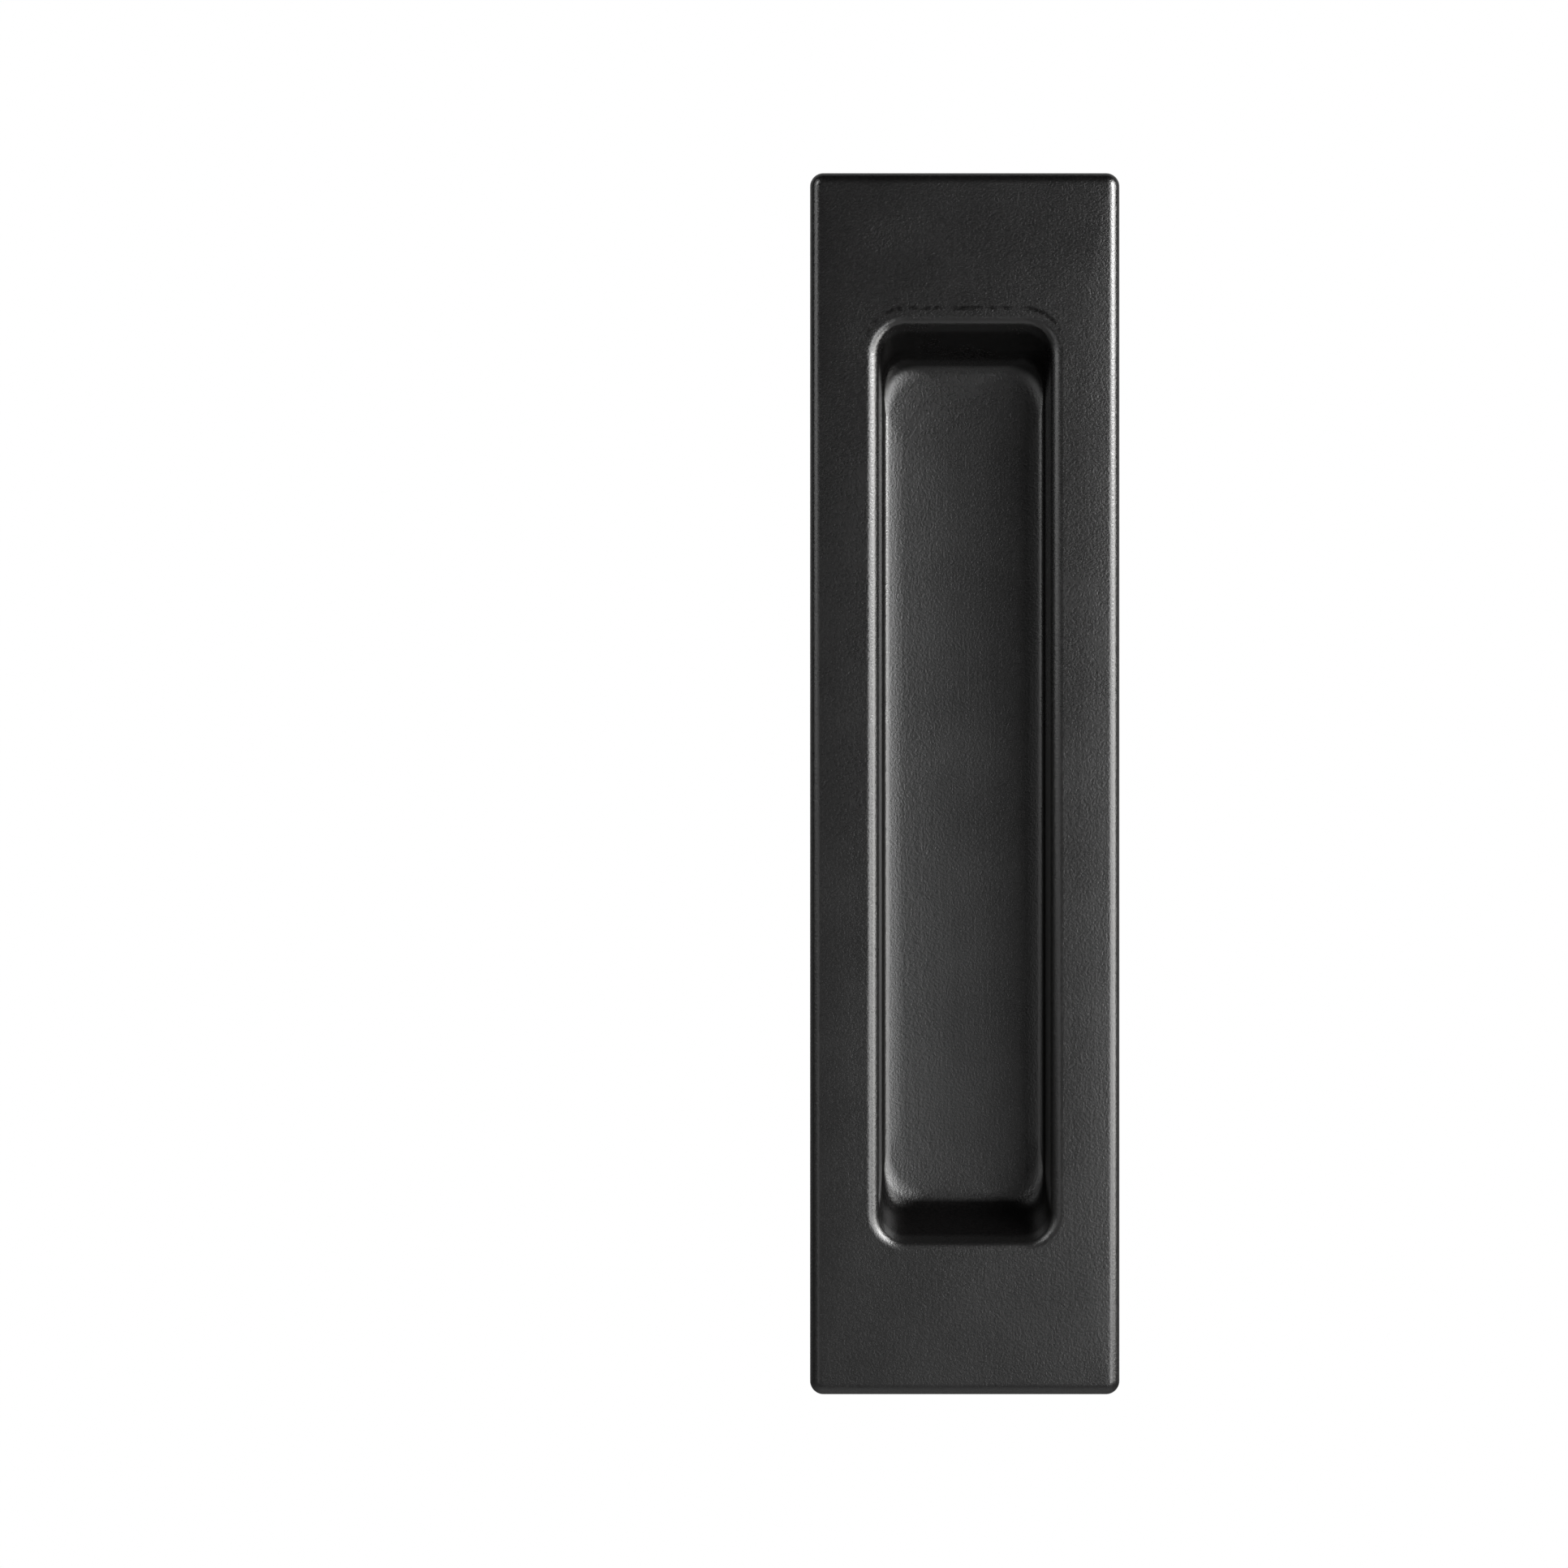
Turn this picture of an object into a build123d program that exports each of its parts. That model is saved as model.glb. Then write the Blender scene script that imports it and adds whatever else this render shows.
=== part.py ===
from build123d import *
import os
from math import cos, radians

os.makedirs("parts", exist_ok=True)

# A flush finger pull for a sliding door, pressed in one piece from steel sheet.
# Z runs up the door along the pull, X across it, and -Y points out of the door.
# The origin is the middle of the plane where the pull's turned-back edge meets the door.

# Sheet
sheet = 1.0

# Flange: the flat border that covers the door's cut-out, with its edge turned back to the door
flange_length = 150.0
flange_width = 38.0
edge_height = 2.5  # door to front face
edge_bend_inside = 0.5  # bend radius on the hidden side
corner_over_bend = 0.15  # the corner seen from the front is this much rounder than the bend

# Pocket for the fingers, drawn back from the flange
pocket_depth = 10.0  # front face to floor
mouth_length = 113.2  # between the end walls, carried on to the front face
mouth_width = 21.0  # between the side walls, carried on to the front face
end_slope = 25.0  # degrees off square to the face
side_slope = 3.0
wall_corner = 3.4  # where an end wall meets a side wall
floor_roll = 1.5  # where the walls meet the floor
mouth_roll_inside = 1.0  # where the flange rolls into the pocket, on the hidden side

# Sizes that follow from the ones above
edge_bend = edge_bend_inside + sheet
flange_corner = edge_bend + corner_over_bend
mouth_roll = mouth_roll_inside + sheet

door = Plane.XZ
front = door.offset(edge_height)


def pocket_form(outside):
    """The solid form of the pocket, with its walls, floor and bends moved out by a distance."""
    with BuildPart() as form:
        with BuildSketch(front):
            Rectangle(
                mouth_width + 2 * outside / cos(radians(side_slope)),
                mouth_length + 2 * outside / cos(radians(end_slope)),
            )
        extrude(amount=-(pocket_depth + outside))
        draft(form.faces().filter_by(Axis.X), front, -side_slope)
        draft(form.faces().filter_by(Axis.Z), front, -end_slope)
        fillet(form.edges().group_by(Axis.Y)[1], wall_corner + outside)
        fillet(form.faces().sort_by(Axis.Y)[-1].edges(), floor_roll + outside)
    return form.part


finger_side = pocket_form(0)
door_side = pocket_form(sheet)

with BuildPart() as pull_shell:
    # Flange, with its edge bent back to the door
    with BuildSketch(door):
        RectangleRounded(flange_width, flange_length, flange_corner)
    extrude(amount=edge_height)
    fillet(pull_shell.faces().sort_by(Axis.Y)[0].edges(), edge_bend)
    with BuildSketch(door):
        RectangleRounded(
            flange_width - 2 * sheet, flange_length - 2 * sheet, flange_corner - sheet
        )
    extrude(amount=edge_height - sheet, mode=Mode.SUBTRACT)
    hidden_face = pull_shell.faces().filter_by(Axis.Y).sort_by(Axis.Y)[1]
    fillet(hidden_face.edges(), edge_bend_inside)

    # Pocket, rolled in from the flange on both sides of the sheet
    add(door_side)
    hidden_face = pull_shell.faces().filter_by(Axis.Y).sort_by(Axis.Y)[1]
    fillet(hidden_face.inner_wires()[0].edges(), mouth_roll_inside)
    add(finger_side, mode=Mode.SUBTRACT)
    front_face = pull_shell.faces().sort_by(Axis.Y)[0]
    fillet(front_face.inner_wires()[0].edges(), mouth_roll)

pull_shell.part.label = "pull_shell"
export_step(pull_shell.part, "parts/pull_shell.step")
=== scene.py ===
import bpy
from math import acos, atan, cos, pi, radians, sin, tan
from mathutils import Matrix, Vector


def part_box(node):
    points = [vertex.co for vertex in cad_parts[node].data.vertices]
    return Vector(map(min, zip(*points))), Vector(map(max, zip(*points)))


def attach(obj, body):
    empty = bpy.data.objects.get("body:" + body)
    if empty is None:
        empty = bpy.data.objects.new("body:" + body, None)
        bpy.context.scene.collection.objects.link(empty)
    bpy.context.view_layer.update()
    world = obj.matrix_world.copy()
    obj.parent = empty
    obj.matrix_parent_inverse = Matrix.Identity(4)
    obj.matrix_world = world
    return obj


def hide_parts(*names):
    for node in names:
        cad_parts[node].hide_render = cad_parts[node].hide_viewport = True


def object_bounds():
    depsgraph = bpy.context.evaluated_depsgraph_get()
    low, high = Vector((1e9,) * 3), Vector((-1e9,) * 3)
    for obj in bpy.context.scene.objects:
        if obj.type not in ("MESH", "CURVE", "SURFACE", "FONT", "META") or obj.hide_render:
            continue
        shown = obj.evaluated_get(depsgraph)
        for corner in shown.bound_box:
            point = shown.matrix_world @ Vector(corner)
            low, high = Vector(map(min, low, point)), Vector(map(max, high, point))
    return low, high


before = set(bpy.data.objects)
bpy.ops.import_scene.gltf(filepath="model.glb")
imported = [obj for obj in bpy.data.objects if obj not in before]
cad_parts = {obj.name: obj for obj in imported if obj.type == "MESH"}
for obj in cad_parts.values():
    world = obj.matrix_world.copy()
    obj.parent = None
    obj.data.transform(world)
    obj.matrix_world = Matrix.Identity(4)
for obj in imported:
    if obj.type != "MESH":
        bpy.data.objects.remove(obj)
cad_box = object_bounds()

# Sizes of the pull in millimetres. Z runs up the door, X across it and -Y out of it.
# Y is 0 on the door, where the turned-back edge ends.
MM = 0.001
low, high = (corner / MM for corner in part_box("pull_shell"))
SHEET = 1.0

# Flange, with its edge turned back to the door
FLANGE_LENGTH = high.z - low.z
FLANGE_WIDTH = high.x - low.x
FACE_Y = low.y  # front of the flange
EDGE_BEND = 1.35  # outside radius of the bend round the flange
FLANGE_CORNER = 1.65  # corner radius seen from the front
CROWN = 0.065  # the flange falls away towards its edge by this much
CUT_EDGE_ROUND = 0.12  # the coat rounds the sheet's cut edge

# Pocket
POCKET_DEPTH = high.y - SHEET - FACE_Y
MOUTH_LENGTH = 113.2  # where the walls, carried on, would meet the face
MOUTH_WIDTH = 21.0
MOUTH_ROLL = 1.65  # radius of the roll from the flange into the pocket, along the sides
MOUTH_ROLL_END = 1.25
END_SLOPE = radians(25.0)
SIDE_SLOPE = radians(3.0)
WALL_CORNER = 3.2  # radius where a side wall meets an end wall, carried on to the face
FOOT_ROLL_SIDE = 1.0  # radius of the wall's foot
FOOT_ROLL_END = 3.8
CORNER_OPENING = 1.05  # growth of the corner's radius for each millimetre the end's foot comes in
OPENING_START = 0.8  # that growth comes in softly over this distance
DISH_RADIUS = 18.0  # inside the foot, the floor dishes up to it on a wide radius
DISH_TILT = radians(9.5)
CUP = 0.18  # the floor is this much deeper in its middle than at the dish
CUP_TILT = radians(3.0)
FLOOR_EDGE = POCKET_DEPTH - CUP  # depth where the dish ends and the floor begins
DISH_EDGE = FLOOR_EDGE - DISH_RADIUS * (cos(CUP_TILT) - cos(DISH_TILT))

# Steps of the mesh. A share runs from 0 where a stretch of the sheet begins to 1 where it ends.
CORNER_STEPS = 18
SIDE_STEPS = 52  # from the middle of a side to its corner
SIDE_CROWDING = 1.6  # they lie closer together towards the corner
END_STEPS = 14
CUT_EDGE_STEPS = 4
BEND_STEPS, ROLL_STEPS, FOOT_STEPS, FLOOR_STEPS = 14, 18, 28, 12
HIDDEN_BEND_STEPS, HIDDEN_ROLL_STEPS, HIDDEN_FOOT_STEPS = 8, 10, 20
FOOT_SHARE = 0.7  # the foot takes this share of its rings and the dish takes the rest
FLOOR_REACH = 0.92  # the floor's rings stop this far on the way to its middle line
NEAR_MOUTH = 1.6  # from here to the roll the flange's rings lie closer together
ACROSS_THE_FLANGE = (0.04, 0.12, 0.22, 0.34, 0.46, 0.58, 0.7, 0.82, 0.92, 1)
BEFORE_THE_ROLL = (1.1, 0.7, 0.4, 0.2, 0.06)
DOWN_A_WALL = (0.06, 0.2, 0.4, 0.6, 0.8, 0.94)
BEHIND_THE_FLANGE = (0.04, 0.15, 0.4, 0.7, 0.94)
# A step to either side of a point, in depth or share, gives the surface's direction there
DEPTH_STEP = 0.001
SHARE_STEP = 0.01


# Shape of the sheet

def wall_end(slope, roll):
    """Depth at which a wall ends and its foot begins."""
    return DISH_EDGE - roll * (cos(DISH_TILT) - sin(slope))


def inset_at(depth, slope, roll):
    """How far in a wall, its foot and the dish have come at a depth, from the wall's own line
    on the face."""
    foot = wall_end(slope, roll)
    if depth <= foot:
        return depth * tan(slope)
    come_in = foot * tan(slope)
    if depth <= DISH_EDGE:
        tilt = acos(sin(slope) + (depth - foot) / roll)
        return come_in + roll * (cos(slope) - sin(tilt))
    come_in += roll * (cos(slope) - sin(DISH_TILT))
    tilt = acos(min(1, cos(DISH_TILT) + (depth - DISH_EDGE) / DISH_RADIUS))
    return come_in + DISH_RADIUS * (sin(DISH_TILT) - sin(tilt))


def corner_radius(depth):
    """Radius of the pocket's corners at a depth, seen from the front. It opens out from the walls
    to the floor."""
    foot, dish, floor = (
        inset_at(d, END_SLOPE, FOOT_ROLL_END)
        for d in (wall_end(END_SLOPE, FOOT_ROLL_END), DISH_EDGE, FLOOR_EDGE)
    )
    here = min(max(inset_at(depth, END_SLOPE, FOOT_ROLL_END), foot), floor)
    on_foot = min(here, dish) - foot
    on_dish = max(0, here - dish)
    if on_foot < OPENING_START:
        growth = on_foot ** 2 / (2 * OPENING_START)
    else:
        growth = on_foot - OPENING_START / 2
    growth += on_dish - 0.5 * on_dish ** 2 / (floor - dish)  # it has ended by the floor
    return WALL_CORNER + CORNER_OPENING * growth


def level(depth, turn):
    """A point of the pocket at a depth, at the corner at +X +Z: turn runs from 0 at the side
    to 1 at the end."""
    radius = corner_radius(depth)
    side_in = inset_at(depth, SIDE_SLOPE, FOOT_ROLL_SIDE)
    end_in = inset_at(depth, END_SLOPE, FOOT_ROLL_END)
    return Vector((
        MOUTH_WIDTH / 2 - side_in - radius * (1 - cos(turn * pi / 2)),
        FACE_Y + depth,
        MOUTH_LENGTH / 2 - end_in - radius * (1 - sin(turn * pi / 2)),
    ))


def inwards(turn):
    return Vector((-cos(turn * pi / 2), 0, -sin(turn * pi / 2)))


def off_rings(here, there, turn):
    """Direction straight off the finger side, from a point of one ring and its neighbour
    further in."""
    along = Vector((-sin(turn * pi / 2), 0, cos(turn * pi / 2)))
    return along.cross(there - here).normalized()


def wall_tilt(turn):
    """Angle between the wall and the flange's plane."""
    side, end = cos(turn * pi / 2), sin(turn * pi / 2)
    return pi / 2 - atan(side * tan(SIDE_SLOPE) + end * tan(END_SLOPE))


def off_surface(tilt, turn):
    """Direction straight off the finger side where it is tilted by an angle from the flange."""
    return sin(tilt) * inwards(turn) + cos(tilt) * Vector((0, -1, 0))


def ease(share):
    return share * share * (3 - 2 * share)


# A ring is a function that gives its points round the corner at +X +Z, by their turn.

def mouth_ring(behind, share):
    """Ring on the roll from the flange to the wall's top, a distance behind the finger side."""
    def point(turn):
        wall = wall_tilt(turn)
        roll = MOUTH_ROLL + (MOUTH_ROLL_END - MOUTH_ROLL) * ease(turn)
        top = level(roll * (1 - cos(wall)), turn)
        middle = top - roll * off_surface(wall, turn)
        return middle + (roll - behind) * off_surface(wall * share, turn)
    return point


def foot_ring(behind, share):
    """Ring on the foot of the walls, down to the dish and on to the floor."""
    if share < FOOT_SHARE:
        steep = pi / 2 - END_SLOPE
        tilt = steep + (DISH_TILT - steep) * share / FOOT_SHARE
        depth = DISH_EDGE - FOOT_ROLL_END * (cos(DISH_TILT) - cos(tilt))
    else:
        tilt = DISH_TILT + (CUP_TILT - DISH_TILT) * (share - FOOT_SHARE) / (1 - FOOT_SHARE)
        depth = DISH_EDGE + DISH_RADIUS * (cos(tilt) - cos(DISH_TILT))

    def point(turn):
        above, below = level(depth - DEPTH_STEP, turn), level(depth + DEPTH_STEP, turn)
        return level(depth, turn) - behind * off_rings(above, below, turn)
    return point


def floor_ring(behind, share):
    """Ring on the floor, which lies a little deeper in its middle."""
    def sunk(turn, share):
        edge = level(FLOOR_EDGE, turn)
        half_width, end = level(FLOOR_EDGE, 0).x, level(FLOOR_EDGE, 1).z
        p = edge.lerp(Vector((0, edge.y, end - half_width)), FLOOR_REACH * share)
        p.y += CUP * (1 - (1 - share) ** 2)
        return p

    def point(turn):
        outer, inner = sunk(turn, share - SHARE_STEP), sunk(turn, share + SHARE_STEP)
        return sunk(turn, share) - behind * off_rings(outer, inner, turn)
    return point


def flange_ring(out, y):
    """Ring round the flange, a distance out from the centres of its corners."""
    def point(turn):
        return Vector((
            FLANGE_WIDTH / 2 - FLANGE_CORNER + out * cos(turn * pi / 2),
            y,
            FLANGE_LENGTH / 2 - FLANGE_CORNER + out * sin(turn * pi / 2),
        ))
    return point


def crowned(edge, mouth, share):
    """Ring on the flange's front, which falls away in a slight curve from the mouth to the edge."""
    def point(turn):
        p = edge(turn).lerp(mouth(turn), share)
        p.y = FACE_Y + CROWN * (1 - share) ** 2
        return p
    return point


def inset(ring, distance):
    return lambda turn: ring(turn) + distance * inwards(turn)


def between(first, last, share):
    return lambda turn: first(turn).lerp(last(turn), share)


def shares(count):
    return [k / count for k in range(count + 1)]


def cut_edge(out, into_the_steel):
    """Rings where the coat rounds one side of the cut edge, from the door up."""
    return [
        flange_ring(out + into_the_steel * CUT_EDGE_ROUND * (1 - sin(s * pi / 2)),
                    -CUT_EDGE_ROUND * (1 - cos(s * pi / 2)))
        for s in shares(CUT_EDGE_STEPS)
    ]


def turned_edge(out, bend, steps):
    """Rings of the turned-back edge on one side of the sheet, up its straight part and over
    its bend."""
    rings = [flange_ring(out, (FACE_Y + EDGE_BEND) / 2)]
    for s in shares(steps):
        rings.append(flange_ring(
            FLANGE_CORNER - EDGE_BEND + bend * cos(s * pi / 2),
            FACE_Y + CROWN + EDGE_BEND - bend * sin(s * pi / 2),
        ))
    return rings


def finger_side_rings():
    """Rings of the side that shows, from the cut edge at the door in to the pocket's floor."""
    rings = cut_edge(FLANGE_CORNER, -1) + turned_edge(FLANGE_CORNER, EDGE_BEND, BEND_STEPS)
    face_edge, mouth_start = rings[-1], mouth_ring(0, 0)
    near_mouth = inset(mouth_start, -NEAR_MOUTH)
    rings += [crowned(face_edge, near_mouth, s) for s in ACROSS_THE_FLANGE]
    rings += [inset(mouth_start, -d) for d in BEFORE_THE_ROLL]
    rings += [mouth_ring(0, s) for s in shares(ROLL_STEPS)]
    wall_top, wall_foot = rings[-1], foot_ring(0, 0)
    rings += [between(wall_top, wall_foot, s) for s in DOWN_A_WALL]
    rings += [foot_ring(0, s) for s in shares(FOOT_STEPS)]
    rings += [floor_ring(0, s) for s in shares(FLOOR_STEPS)[1:]]
    return rings


def door_side_rings():
    """Rings of the hidden side, from the tub's back out to the cut edge at the door."""
    rings = [floor_ring(SHEET, s) for s in reversed(shares(FLOOR_STEPS)[1:])]
    rings += [foot_ring(SHEET, s) for s in reversed(shares(HIDDEN_FOOT_STEPS))]
    wall_foot, wall_top = rings[-1], mouth_ring(SHEET, 1)
    rings += [between(wall_foot, wall_top, s) for s in DOWN_A_WALL]
    rings += [mouth_ring(SHEET, s) for s in reversed(shares(HIDDEN_ROLL_STEPS))]
    mouth_end = rings[-1]
    edge = turned_edge(FLANGE_CORNER - SHEET, EDGE_BEND - SHEET, HIDDEN_BEND_STEPS)
    rings += [between(mouth_end, edge[-1], s) for s in BEHIND_THE_FLANGE]
    rings += reversed(edge)
    rings += reversed(cut_edge(FLANGE_CORNER - SHEET, 1))
    return rings


def all_round(ring):
    """One ring's points, from the middle of the side at +X round all four corners."""
    side, end = ring(0), ring(1)
    quarter = []
    for k in range(SIDE_STEPS):
        run = 1 - (1 - k / SIDE_STEPS) ** SIDE_CROWDING
        quarter.append(Vector((side.x, side.y, side.z * run)))
    quarter += [ring(k / CORNER_STEPS) for k in range(CORNER_STEPS)]
    for k in range(END_STEPS + 1):
        quarter.append(Vector((end.x * (1 - k / END_STEPS), end.y, end.z)))
    half = quarter + [Vector((-p.x, p.y, p.z)) for p in reversed(quarter[:-1])]
    return half + [Vector((-p.x, p.y, -p.z)) for p in half[1:-1]]


def close_across(first, count, facing_door):
    """Closes a ring with faces straight across from one long side to the other. At each end
    the last face takes in all of the end's points."""
    quarter = count // 4
    corner = quarter - END_STEPS  # where the corner at +X +Z ends
    rows = []
    for half in (0, 2 * quarter):
        other_side = half + 2 * quarter
        for k in range(corner - 1):
            rows.append([half + k, half + k + 1, other_side - k - 1, (other_side - k) % count])
        rows.append(list(range(half + corner - 1, other_side - corner + 2)))
    return [[first + i for i in (reversed(row) if facing_door else row)] for row in rows]


def pull_mesh():
    finger_side, door_side = finger_side_rings(), door_side_rings()
    rings = [all_round(ring) for ring in finger_side + door_side]
    count = len(rings[0])
    faces = []
    for row in range(len(rings)):
        if row == len(finger_side) - 1:
            continue  # the floor isn't joined to the tub's back through the sheet
        here, further = row * count, (row + 1) % len(rings) * count
        for k in range(count):
            n = (k + 1) % count
            faces.append((here + k, here + n, further + n, further + k))
    faces += close_across((len(finger_side) - 1) * count, count, facing_door=False)
    faces += close_across(len(finger_side) * count, count, facing_door=True)
    mesh = bpy.data.meshes.new("pressed_pull")
    mesh.from_pydata([p * MM for ring in rings for p in ring], [], faces)
    mesh.validate()
    mesh.shade_smooth()
    mesh.update()
    return mesh


pull = bpy.data.objects.new("pressed_pull", pull_mesh())
bpy.context.scene.collection.objects.link(pull)
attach(pull, "root")
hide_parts("pull_shell")


# Finish

def from_hex(colour):
    """An sRGB hex colour as linear light."""
    parts = [int(colour[i:i + 2], 16) / 255 for i in (1, 3, 5)]
    return [c / 12.92 if c <= 0.04045 else ((c + 0.055) / 1.055) ** 2.4 for c in parts] + [1.0]


def empty_tree(owner):
    """The node tree of a new material or world, with nothing in it."""
    owner.use_nodes = True
    owner.node_tree.nodes.clear()
    return owner.node_tree


def put(tree, kind, settings=None, links=None, **fields):
    """Adds a node, sets its fields and sockets, and links its inputs from other nodes' outputs."""
    node = tree.nodes.new(kind)
    for name, value in fields.items():
        setattr(node, name, value)
    for socket, value in (settings or {}).items():
        node.inputs[socket].default_value = value
    for socket, source in (links or {}).items():
        tree.links.new(source, node.inputs[socket])
    return node


# A noise has its hollows near 0.3 and its hills near 0.7
HOLLOW_TO_HILL = {"From Min": 0.3, "From Max": 0.7}


def draw_line(tree, place):
    """1 on the fine line that drawing the pocket burnished round the corners of its mouth, and 0
    off it and where the line breaks off."""
    line_radius, half_width, core, break_gap = 4.95 * MM, 0.4 * MM, 0.05 * MM, 1.1 * MM
    corner_centre = (MOUTH_WIDTH / 2 - WALL_CORNER) * MM, 0, (MOUTH_LENGTH / 2 - WALL_CORNER) * MM
    quarter = put(tree, "ShaderNodeVectorMath", links={0: place}, operation="ABSOLUTE")
    from_centre = put(tree, "ShaderNodeVectorMath", {1: corner_centre},
                      {0: quarter.outputs["Vector"]}, operation="SUBTRACT")
    outwards = put(tree, "ShaderNodeVectorMath", {1: (0, 0, 0)},
                   {0: from_centre.outputs["Vector"]}, operation="MAXIMUM")
    in_the_face = put(tree, "ShaderNodeVectorMath", {1: (1, 0, 1)},
                      {0: outwards.outputs["Vector"]}, operation="MULTIPLY")
    away = put(tree, "ShaderNodeVectorMath", links={0: in_the_face.outputs["Vector"]},
               operation="LENGTH")
    past_line = put(tree, "ShaderNodeMath", {1: line_radius}, {0: away.outputs["Value"]},
                    operation="SUBTRACT")
    off_line = put(tree, "ShaderNodeMath", links={0: past_line.outputs["Value"]},
                   operation="ABSOLUTE")
    line = put(tree, "ShaderNodeMapRange", {"From Min": half_width, "From Max": core},
               {"Value": off_line.outputs["Value"]}, interpolation_type="SMOOTHSTEP")
    breaks = put(tree, "ShaderNodeTexNoise",
                 {"Scale": 1 / break_gap, "Detail": 3.0, "Roughness": 0.6}, {"Vector": place})
    unbroken = put(tree, "ShaderNodeMapRange", {"From Min": 0.42, "From Max": 0.58},
                   {"Value": breaks.outputs["Fac"]})
    return put(tree, "ShaderNodeMath", operation="MULTIPLY",
               links={0: line.outputs["Result"], 1: unbroken.outputs["Result"]})


def steep_walls(tree, depth):
    """1 on the pocket's steep walls, between the mouth's roll and the foot, and 0 elsewhere.
    Depth is measured from the door."""
    past_the_roll = put(tree, "ShaderNodeMapRange", {"From Min": -0.9 * MM, "From Max": 0.3 * MM},
                        {"Value": depth}, interpolation_type="SMOOTHSTEP")
    above_the_foot = put(tree, "ShaderNodeMapRange", {"From Min": 6.9 * MM, "From Max": 6.5 * MM},
                         {"Value": depth}, interpolation_type="SMOOTHSTEP")
    return put(tree, "ShaderNodeMath", operation="MULTIPLY",
               links={0: past_the_roll.outputs["Result"], 1: above_the_foot.outputs["Result"]})


def black_powder_coat_on_pressed_steel():
    """Fine-textured black powder coat, sprayed and baked on pressed steel sheet.

    Powder flows out to a satin skin with a fine grain, so a lamp makes a soft bright line on each
    bend and the flats stay near black. The sheet's rolling lines show faintly through the coat.
    """
    coat = bpy.data.materials.new("black_powder_coat_on_pressed_steel")
    tree = empty_tree(coat)
    place = put(tree, "ShaderNodeTexCoord").outputs["Object"]
    where = put(tree, "ShaderNodeSeparateXYZ", links={"Vector": place})

    # Powder grain: 0.1 mm from hill to hill on the real one, drawn 0.3 mm apart so that it shows
    grain_gap, grain_height = 0.3 * MM, 0.036 * MM
    grain = put(tree, "ShaderNodeTexNoise",
                {"Scale": 1 / grain_gap, "Detail": 2.0, "Roughness": 0.75}, {"Vector": place})
    # Rolling lines of the sheet, fine grooves that run up and down the pull
    line_gap, line_length, line_height = 0.45 * MM, 12 * MM, 0.006 * MM
    stretched = put(tree, "ShaderNodeMapping", {"Scale": (1, 1, line_gap / line_length)},
                    {"Vector": place})
    lines = put(tree, "ShaderNodeTexNoise",
                {"Scale": 1 / line_gap, "Detail": 2.0, "Roughness": 0.5},
                {"Vector": stretched.outputs["Vector"]})
    # Clouds where the coat is a little thicker or has been handled
    cloud_width = 9 * MM
    clouds = put(tree, "ShaderNodeTexNoise",
                 {"Scale": 1 / cloud_width, "Detail": 2.0, "Roughness": 0.5}, {"Vector": place})

    # Carbon black, a shade greyer on the grain's hills
    hills = put(tree, "ShaderNodeMapRange", HOLLOW_TO_HILL, {"Value": grain.outputs["Fac"]})
    pigment = put(tree, "ShaderNodeMix", {"A": from_hex("#030303"), "B": from_hex("#0e0d0d")},
                  {"Factor": hills.outputs["Result"]}, data_type="RGBA")

    # A satin skin, a little duller in some clouds than in others
    dull = put(tree, "ShaderNodeMapRange", {**HOLLOW_TO_HILL, "To Min": 0.265, "To Max": 0.295},
               {"Value": clouds.outputs["Fac"]}).outputs["Result"]
    # The gun leaves the coat a little duller towards the lower end
    lower = put(tree, "ShaderNodeMapRange",
                {"From Min": 70 * MM, "From Max": -70 * MM, "To Min": -0.03, "To Max": 0.05},
                {"Value": where.outputs["Z"]})
    # The pocket's floor is touched most and is duller than the flange
    on_the_floor = put(tree, "ShaderNodeMapRange",
                       {"From Min": 6.8 * MM, "From Max": 7.3 * MM, "To Min": 0.0, "To Max": 0.02},
                       {"Value": where.outputs["Y"]})
    # The grain's hills are a little duller than its hollows
    fleck = put(tree, "ShaderNodeMapRange",
                {**HOLLOW_TO_HILL, "To Min": -0.015, "To Max": 0.015},
                {"Value": grain.outputs["Fac"]})
    # The coat lies smoother on the draw line, which shows at the mouth's top end
    top_end = put(tree, "ShaderNodeMapRange",
                  {"From Min": 54 * MM, "From Max": 57 * MM, "To Max": -0.11},
                  {"Value": where.outputs["Z"]})
    burnish = put(tree, "ShaderNodeMath", operation="MULTIPLY",
                  links={0: draw_line(tree, place).outputs["Value"], 1: top_end.outputs["Result"]})
    for change in (lower.outputs["Result"], on_the_floor.outputs["Result"],
                   fleck.outputs["Result"], burnish.outputs["Value"]):
        dull = put(tree, "ShaderNodeMath", operation="ADD", links={0: dull, 1: change}).outputs[0]
    # Little powder reaches the pocket's steep walls, so the coat there is thin and hardly shines
    shine = put(tree, "ShaderNodeMapRange", {"To Min": 1.0, "To Max": 0.18},
                {"Value": steep_walls(tree, where.outputs["Y"]).outputs["Value"]})

    grained = put(tree, "ShaderNodeBump", {"Strength": 1.0, "Distance": grain_height},
                  {"Height": grain.outputs["Fac"]})
    lined = put(tree, "ShaderNodeBump", {"Strength": 1.0, "Distance": line_height},
                {"Height": lines.outputs["Fac"], "Normal": grained.outputs["Normal"]})
    # The baked resin has an index of 1.6
    skin = put(tree, "ShaderNodeBsdfPrincipled", {"Metallic": 0.0, "IOR": 1.6},
               {"Base Color": pigment.outputs["Result"], "Roughness": dull,
                "Specular IOR Level": shine.outputs["Result"], "Normal": lined.outputs["Normal"]})
    put(tree, "ShaderNodeOutputMaterial", links={"Surface": skin.outputs["BSDF"]})
    return coat


pull.data.materials.append(black_powder_coat_on_pressed_steel())


# Stage, lamps and camera, in metres

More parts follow.
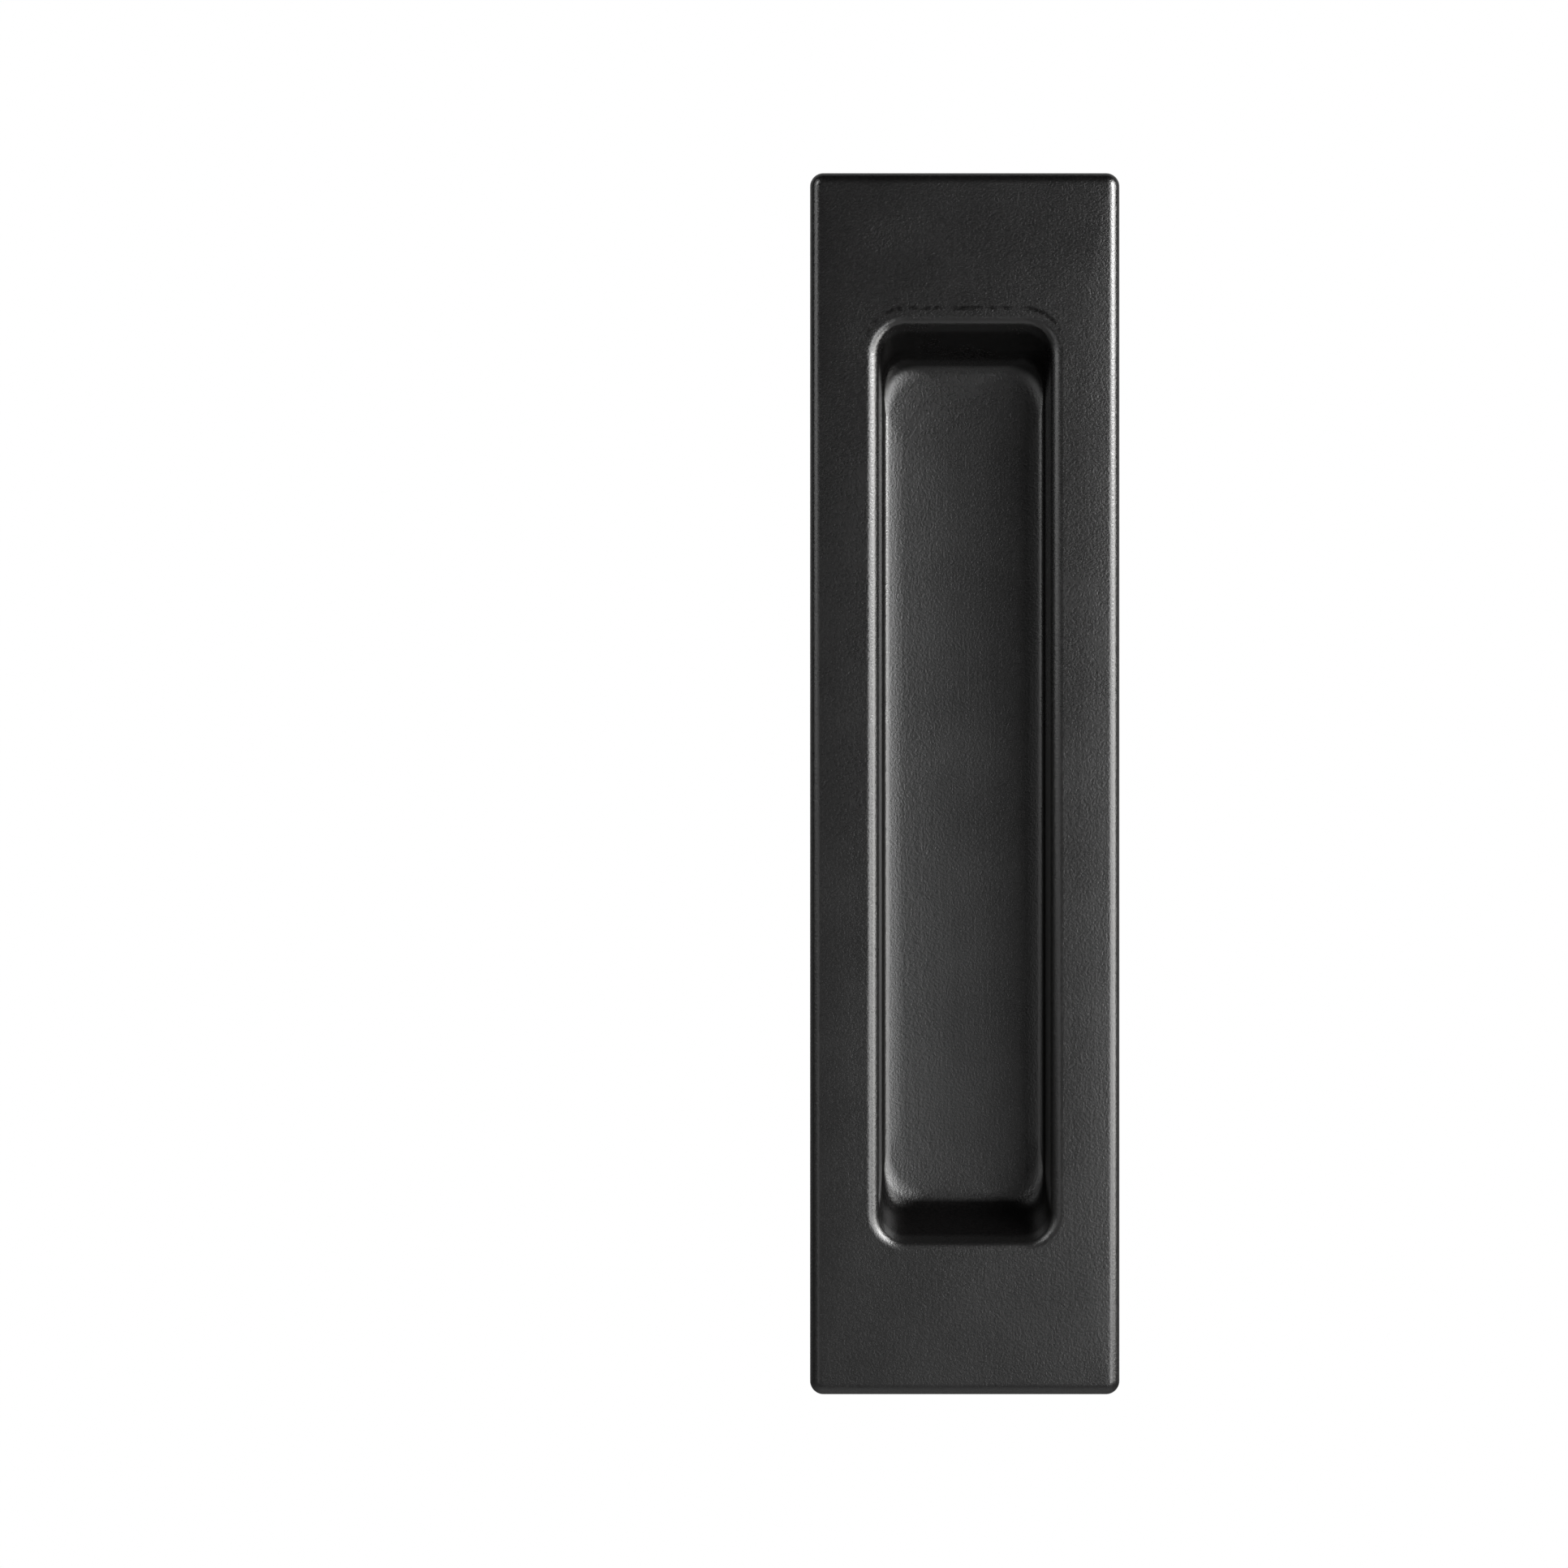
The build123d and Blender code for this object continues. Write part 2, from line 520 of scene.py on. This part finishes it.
FLOOR_SIZE = 30
FLOOR_DROP = 0.35  # the floor lies this far under the pull
BACKDROP_SIZE = 0.8
BACKDROP_Y = 1.1  # the backdrop stands this far behind the door's face
WHITE_BOARD = (0.8, 0.8, 0.8, 1)
FLOOR_LIFT = 0.58  # brings the floor to pale for the camera
ROOM = 0.015  # brightness of the dark side of the studio, in front and overhead
BACK_WALL = 0.45
PALE_ROOM = 0.8  # brightness of the room as the camera sees it
FACE_SHOT = 1.25  # camera to the flange's face
VIEW_WIDTH = 0.1924  # width of the view at the flange's face
CAMERA_X = -0.0222  # the camera stands a little to the left of the pull
CAMERA_Z = -0.00004  # and a hair below its middle
SENSOR = 36.0  # in millimetres
WARM = (1.0, 0.99, 0.97)


def seen_by(tree, *kinds):
    """1 for rays of the kinds named, and 0 for the rest."""
    rays = put(tree, "ShaderNodeLightPath")
    seen = rays.outputs[kinds[0]]
    for kind in kinds[1:]:
        seen = put(tree, "ShaderNodeMath", links={0: seen, 1: rays.outputs[kind]},
                   operation="MAXIMUM").outputs["Value"]
    return seen


def white_board():
    """White to the camera and in reflections, plain white board to everything else."""
    material = bpy.data.materials.new("white_board")
    tree = empty_tree(material)
    seen = seen_by(tree, "Is Camera Ray", "Is Glossy Ray", "Is Transmission Ray")
    board = put(tree, "ShaderNodeBsdfDiffuse", {"Color": WHITE_BOARD})
    white = put(tree, "ShaderNodeEmission", {"Color": (1, 1, 1, 1), "Strength": 1.0})
    mix = put(tree, "ShaderNodeMixShader",
              links={0: seen, 1: board.outputs["BSDF"], 2: white.outputs["Emission"]})
    put(tree, "ShaderNodeOutputMaterial", links={"Surface": mix.outputs["Shader"]})
    return material


def pale_floor():
    """White board that the camera sees pale, with the object's shadow kept on it."""
    material = bpy.data.materials.new("pale_floor")
    tree = empty_tree(material)
    seen = seen_by(tree, "Is Camera Ray", "Is Transmission Ray")
    lift = put(tree, "ShaderNodeMath", {1: FLOOR_LIFT}, {0: seen}, operation="MULTIPLY")
    board = put(tree, "ShaderNodeBsdfDiffuse", {"Color": WHITE_BOARD})
    glow = put(tree, "ShaderNodeEmission", {"Color": (1, 1, 1, 1)},
               {"Strength": lift.outputs["Value"]})
    both = put(tree, "ShaderNodeAddShader",
               links={0: board.outputs["BSDF"], 1: glow.outputs["Emission"]})
    put(tree, "ShaderNodeOutputMaterial", links={"Surface": both.outputs["Shader"]})
    return material


def studio_with_a_pale_back_wall():
    """World: a dark room in front and overhead, and a pale wall behind that lights the floor."""
    world = bpy.data.worlds.new("studio")
    tree = empty_tree(world)
    towards = put(tree, "ShaderNodeSeparateXYZ",
                  links={"Vector": put(tree, "ShaderNodeTexCoord").outputs["Generated"]})
    wall = put(tree, "ShaderNodeMapRange",
               {"From Min": 0.0, "From Max": 0.6, "To Min": ROOM, "To Max": BACK_WALL},
               {"Value": towards.outputs["Y"]}, interpolation_type="SMOOTHSTEP")
    # The camera sees the room pale. The black coat mirrors its dark side, as in the photograph
    seen = seen_by(tree, "Is Camera Ray", "Is Transmission Ray")
    strength = put(tree, "ShaderNodeMix", {"B": PALE_ROOM},
                   {"Factor": seen, "A": wall.outputs["Result"]})
    light = put(tree, "ShaderNodeBackground", links={"Strength": strength.outputs["Result"]})
    put(tree, "ShaderNodeOutputWorld", links={"Surface": light.outputs["Background"]})
    return world


def flat_board(name, size, place, turn, material):
    mesh = bpy.data.meshes.new(name)
    h = size / 2
    mesh.from_pydata([(-h, -h, 0), (h, -h, 0), (h, h, 0), (-h, h, 0)], [], [(0, 1, 2, 3)])
    mesh.materials.append(material)
    board = bpy.data.objects.new(name, mesh)
    board.location, board.rotation_euler = place, turn
    bpy.context.scene.collection.objects.link(board)


def soft_lamp(name, place, faces, width, height, radiance, colour=(1, 1, 1)):
    """A softbox that stands at a place, faces a direction and has one radiance over its face."""
    lamp = bpy.data.lights.new(name, "AREA")
    lamp.shape = "RECTANGLE"
    lamp.size, lamp.size_y = width, height
    lamp.energy = radiance * pi * width * height
    lamp.color = colour
    softbox = bpy.data.objects.new(name, lamp)
    softbox.location = place
    softbox.rotation_euler = Vector(faces).to_track_quat("-Z", "Y").to_euler()
    softbox.visible_camera = False
    bpy.context.scene.collection.objects.link(softbox)


bpy.context.scene.world = studio_with_a_pale_back_wall()
flat_board("floor", FLOOR_SIZE, (0, 0, cad_box[0].z - FLOOR_DROP), (0, 0, 0), pale_floor())
flat_board("backdrop", BACKDROP_SIZE, (CAMERA_X, BACKDROP_Y, 0), (pi / 2, 0, 0), white_board())

# Each softbox has its place, the direction that it faces, its width and height, and its radiance
soft_lamp("close_right_softbox", (0.11, -0.056, 0.03), (-1, 0, 0), 0.07, 0.20, 4.5, WARM)
soft_lamp("side_right_softbox", (0.24, -0.11, 0.16), (-1, 0.2, -0.5), 0.16, 0.20, 1.5, WARM)
soft_lamp("high_right_softbox", (0.20, -0.18, 0.13), (-0.65, 0.55, -0.5), 0.10, 0.14, 15.5)
soft_lamp("front_right_softbox", (0.20, -0.35, -0.01), (-0.5, 0.85, 0), 0.16, 0.32, 3.65)
soft_lamp("high_left_softbox", (-0.18, -0.19, 0.17), (0.6, 0.5, -0.6), 0.08, 0.08, 4.5)
soft_lamp("left_softbox", (-0.25, -0.18, 0.18), (1, 0, 0), 0.20, 0.36, 1.05)
soft_lamp("low_left_softbox", (-0.20, -0.35, -0.06), (0.5, 0.85, 0), 0.14, 0.18, 0.58)

camera_data = bpy.data.cameras.new("camera")
camera_data.sensor_width = SENSOR
camera_data.lens = SENSOR * FACE_SHOT / VIEW_WIDTH
camera = bpy.data.objects.new("camera", camera_data)
camera.location = (CAMERA_X, FACE_Y * MM - FACE_SHOT, CAMERA_Z)
camera.rotation_euler = (pi / 2, 0, 0)
bpy.context.scene.collection.objects.link(camera)
bpy.context.scene.camera = camera
bpy.context.scene.view_settings.view_transform = "Standard"
